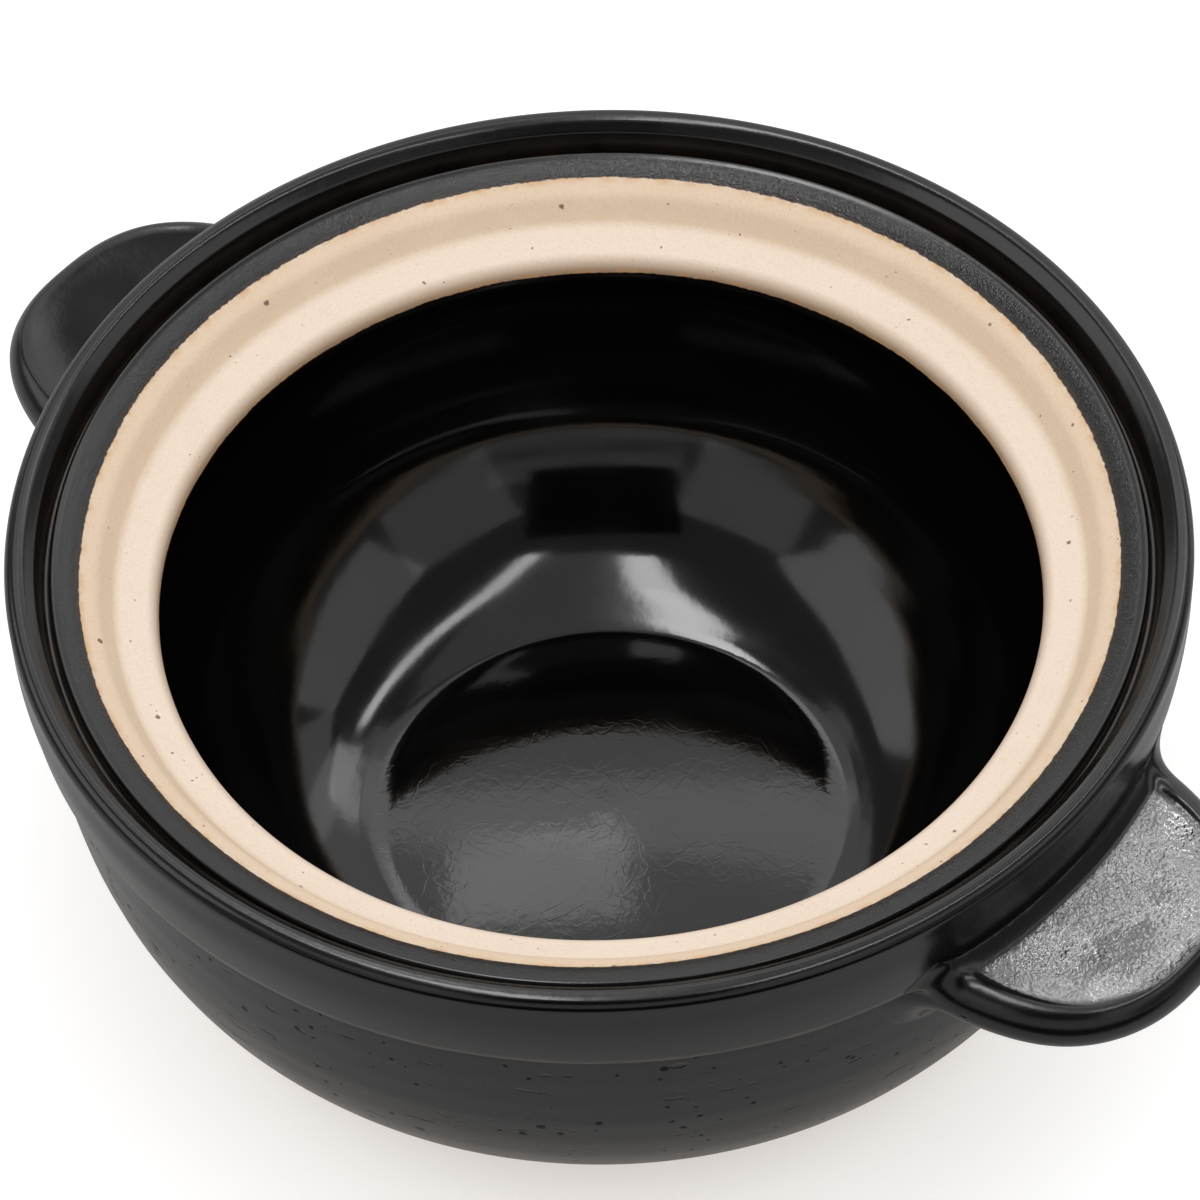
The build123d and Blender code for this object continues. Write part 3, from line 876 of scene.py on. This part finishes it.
def potMaterial():
    material = bpy.data.materials.new("glazeAndClay")
    n = Nodes(material)
    place = n.add("ShaderNodeTexCoord").outputs["Object"]
    clay, path = n.value("clay"), n.value("path")
    ragged = n.times(n.minus(n.noise(place, "border"), 0.5), clayPaint["borderRagged"])
    soft = clayPaint["borderSoft"]
    bare = n.span(n.plus(clay, ragged), -soft, soft)
    glaze = glazeShader(n, place, path)
    fired = clayShader(n, place, clay, path)
    both = n.add("ShaderNodeMixShader", {0: bare, 1: glaze.outputs[0], 2: fired.outputs[0]})
    n.add("ShaderNodeOutputMaterial", {"Surface": both.outputs[0]})
    return material


surface = potMaterial()
for thing in (potBody, handleRight, handleLeft):
    thing.data.materials.append(surface)
print("materials done")


# A flat piece of the studio from its four corners, with a diffuse colour and maybe a glow
def studioSheet(name, corners, colour, glow=None):
    mesh = bpy.data.meshes.new(name)
    mesh.from_pydata([tuple(c) for c in corners], [], [(0, 1, 2, 3)])
    thing = bpy.data.objects.new(name, mesh)
    bpy.context.scene.collection.objects.link(thing)
    material = bpy.data.materials.new(name + "Paint")
    n = Nodes(material)
    paint = n.add("ShaderNodeBsdfDiffuse", {"Color": colour})
    if glow:
        shine = n.add("ShaderNodeEmission", {"Color": (1.0, 1.0, 1.0), "Strength": glow(n)})
        paint = n.add("ShaderNodeAddShader", {0: paint.outputs[0], 1: shine.outputs[0]})
    n.add("ShaderNodeOutputMaterial", {"Surface": paint.outputs[0]})
    mesh.materials.append(material)
    return thing


# The floor is seen white; its glow is lowest under the pot and rises outwards, a painted shadow on
# top of the rendered one
def floorGlowAndShadow(n):
    away = n.add("ShaderNodeVectorMath", {0: n.add("ShaderNodeTexCoord").outputs["Object"]},
                 operation="LENGTH").outputs["Value"]
    under, near, far = studio["floorGlowAndShadow"]
    start, middle, end = studio["floorShadowFade"]
    glow = n.plus(n.span(away, start, middle, under, under + near),
                  n.span(away, middle, end, 0.0, far))
    return n.times(n.add("ShaderNodeLightPath").outputs["Is Camera Ray"], glow)


def makeFloor():
    size, drop = studio["floorSize"], studio["floorDrop"]
    corners = [(i * size, j * size, drop) for i, j in ((-1, -1), (1, -1), (1, 1), (-1, 1))]
    studioSheet("studioFloor", corners, studio["floorColour"], floorGlowAndShadow)


# The sky fills shadows, is dim in reflections and white behind the pot
def makeSky():
    world = bpy.data.worlds.new("studioSky")
    bpy.context.scene.world = world
    n = Nodes(world)
    rays = n.add("ShaderNodeLightPath").outputs
    fill, seen, backdrop = (
        n.add("ShaderNodeBackground", {"Color": (1, 1, 1, 1), "Strength": studio[name]}).outputs[0]
        for name in ("skyFill", "skySeen", "skyBackdrop"))
    glossy = n.add("ShaderNodeMixShader", {0: rays["Is Glossy Ray"], 1: fill, 2: seen})
    shown = n.add("ShaderNodeMixShader", {
        0: rays["Is Camera Ray"], 1: glossy.outputs[0], 2: backdrop})
    n.add("ShaderNodeOutputWorld", {"Surface": shown.outputs[0]})


# A soft light that faces the pot, or lies flat over it
def softBox(name, place, width, tall, turn, glow):
    middle, up = Vector(place), Vector((0, 0, 1))
    if middle.z > studio["flatAbove"] and middle.y < studio["flatBefore"]:
        ahead, guide = up, Vector((0, 1, 0))
    else:
        ahead, guide = (middle - Vector(studio["potMiddle"])).normalized(), up
    across = guide.cross(ahead).normalized()
    upward = ahead.cross(across)
    rotation = (Matrix((across, upward, ahead)).transposed()
                @ Matrix.Rotation(math.radians(turn), 3, "Z"))
    light = bpy.data.lights.new(name, "AREA")
    light.shape = "RECTANGLE"
    light.size, light.size_y = width, tall
    light.energy = 4 * glow * width * tall
    thing = bpy.data.objects.new(name, light)
    bpy.context.scene.collection.objects.link(thing)
    thing.matrix_world = (Matrix(toRow.tolist()).to_4x4() @ Matrix.Translation(middle)
                          @ rotation.to_4x4())
    thing.visible_diffuse = False


def darkCard(name, corners):
    turned = [toRow @ np.array(c, float) for c in corners]
    thing = studioSheet(name, turned, studio["cardColour"])
    thing.visible_diffuse = False
    thing.visible_camera = False


# Black cards that the glaze mirrors: one behind the camera, one lying in front of the pot
def darkCards():
    side, height, distance, width, tall = studio["card"]
    a, e = math.radians(side), math.radians(height)
    away = np.array((math.sin(a) * math.cos(e), -math.cos(a) * math.cos(e), math.sin(e)))
    across = np.array((math.cos(a), math.sin(a), 0))
    upward = np.cross(across, -away)
    middle = away * distance + np.array(studio["potMiddle"])
    darkCard("darkCard", [middle + i * across * width / 2 + j * upward * tall / 2
                          for i, j in ((-1, -1), (1, -1), (1, 1), (-1, 1))])
    half, start, end, lift = studio["tableCard"]
    darkCard("tableCard", [(-half, -end, lift), (half, -end, lift), (half, -start, lift),
                           (-half, -start, lift)])


# Makes the camera and returns the turn from its own frame to the pot's
def makeCamera():
    e, roll, turn = (math.radians(studio[key]) for key in ("elevation", "roll", "turn"))
    forward = np.array((0, math.cos(e), -math.sin(e)))
    level = np.array((1.0, 0, 0))
    above = np.cross(level, forward)
    right = math.cos(roll) * level + math.sin(roll) * above
    up = -math.sin(roll) * level + math.cos(roll) * above
    ahead = forward + studio["aimRight"] * right + studio["aimUp"] * up
    ahead = ahead / np.linalg.norm(ahead)
    right = right - (right @ ahead) * ahead
    right = right / np.linalg.norm(right)
    up = np.cross(right, ahead)
    spin = np.array(((math.cos(turn), -math.sin(turn), 0), (math.sin(turn), math.cos(turn), 0),
                     (0, 0, 1)))
    place = spin @ (-studio["distance"] * forward) + np.array((0, 0, studio["aimHeight"]))
    data = bpy.data.cameras.new("studioCamera")
    data.sensor_width = studio["sensor"]
    data.lens = studio["focal"] / studio["pictureWidth"] * studio["sensor"]
    data.clip_start, data.clip_end = studio["clip"]
    thing = bpy.data.objects.new("studioCamera", data)
    bpy.context.scene.collection.objects.link(thing)
    rotation = Matrix((spin @ right, spin @ up, -(spin @ ahead))).transposed().to_4x4()
    thing.matrix_world = Matrix.Translation(Vector(place)) @ rotation
    bpy.context.scene.camera = thing
    return spin


makeFloor()
makeSky()
toRow = makeCamera()
for row in studio["lights"]:
    softBox(*row)
darkCards()
bpy.context.scene.view_settings.view_transform = "Standard"
print("studio done")
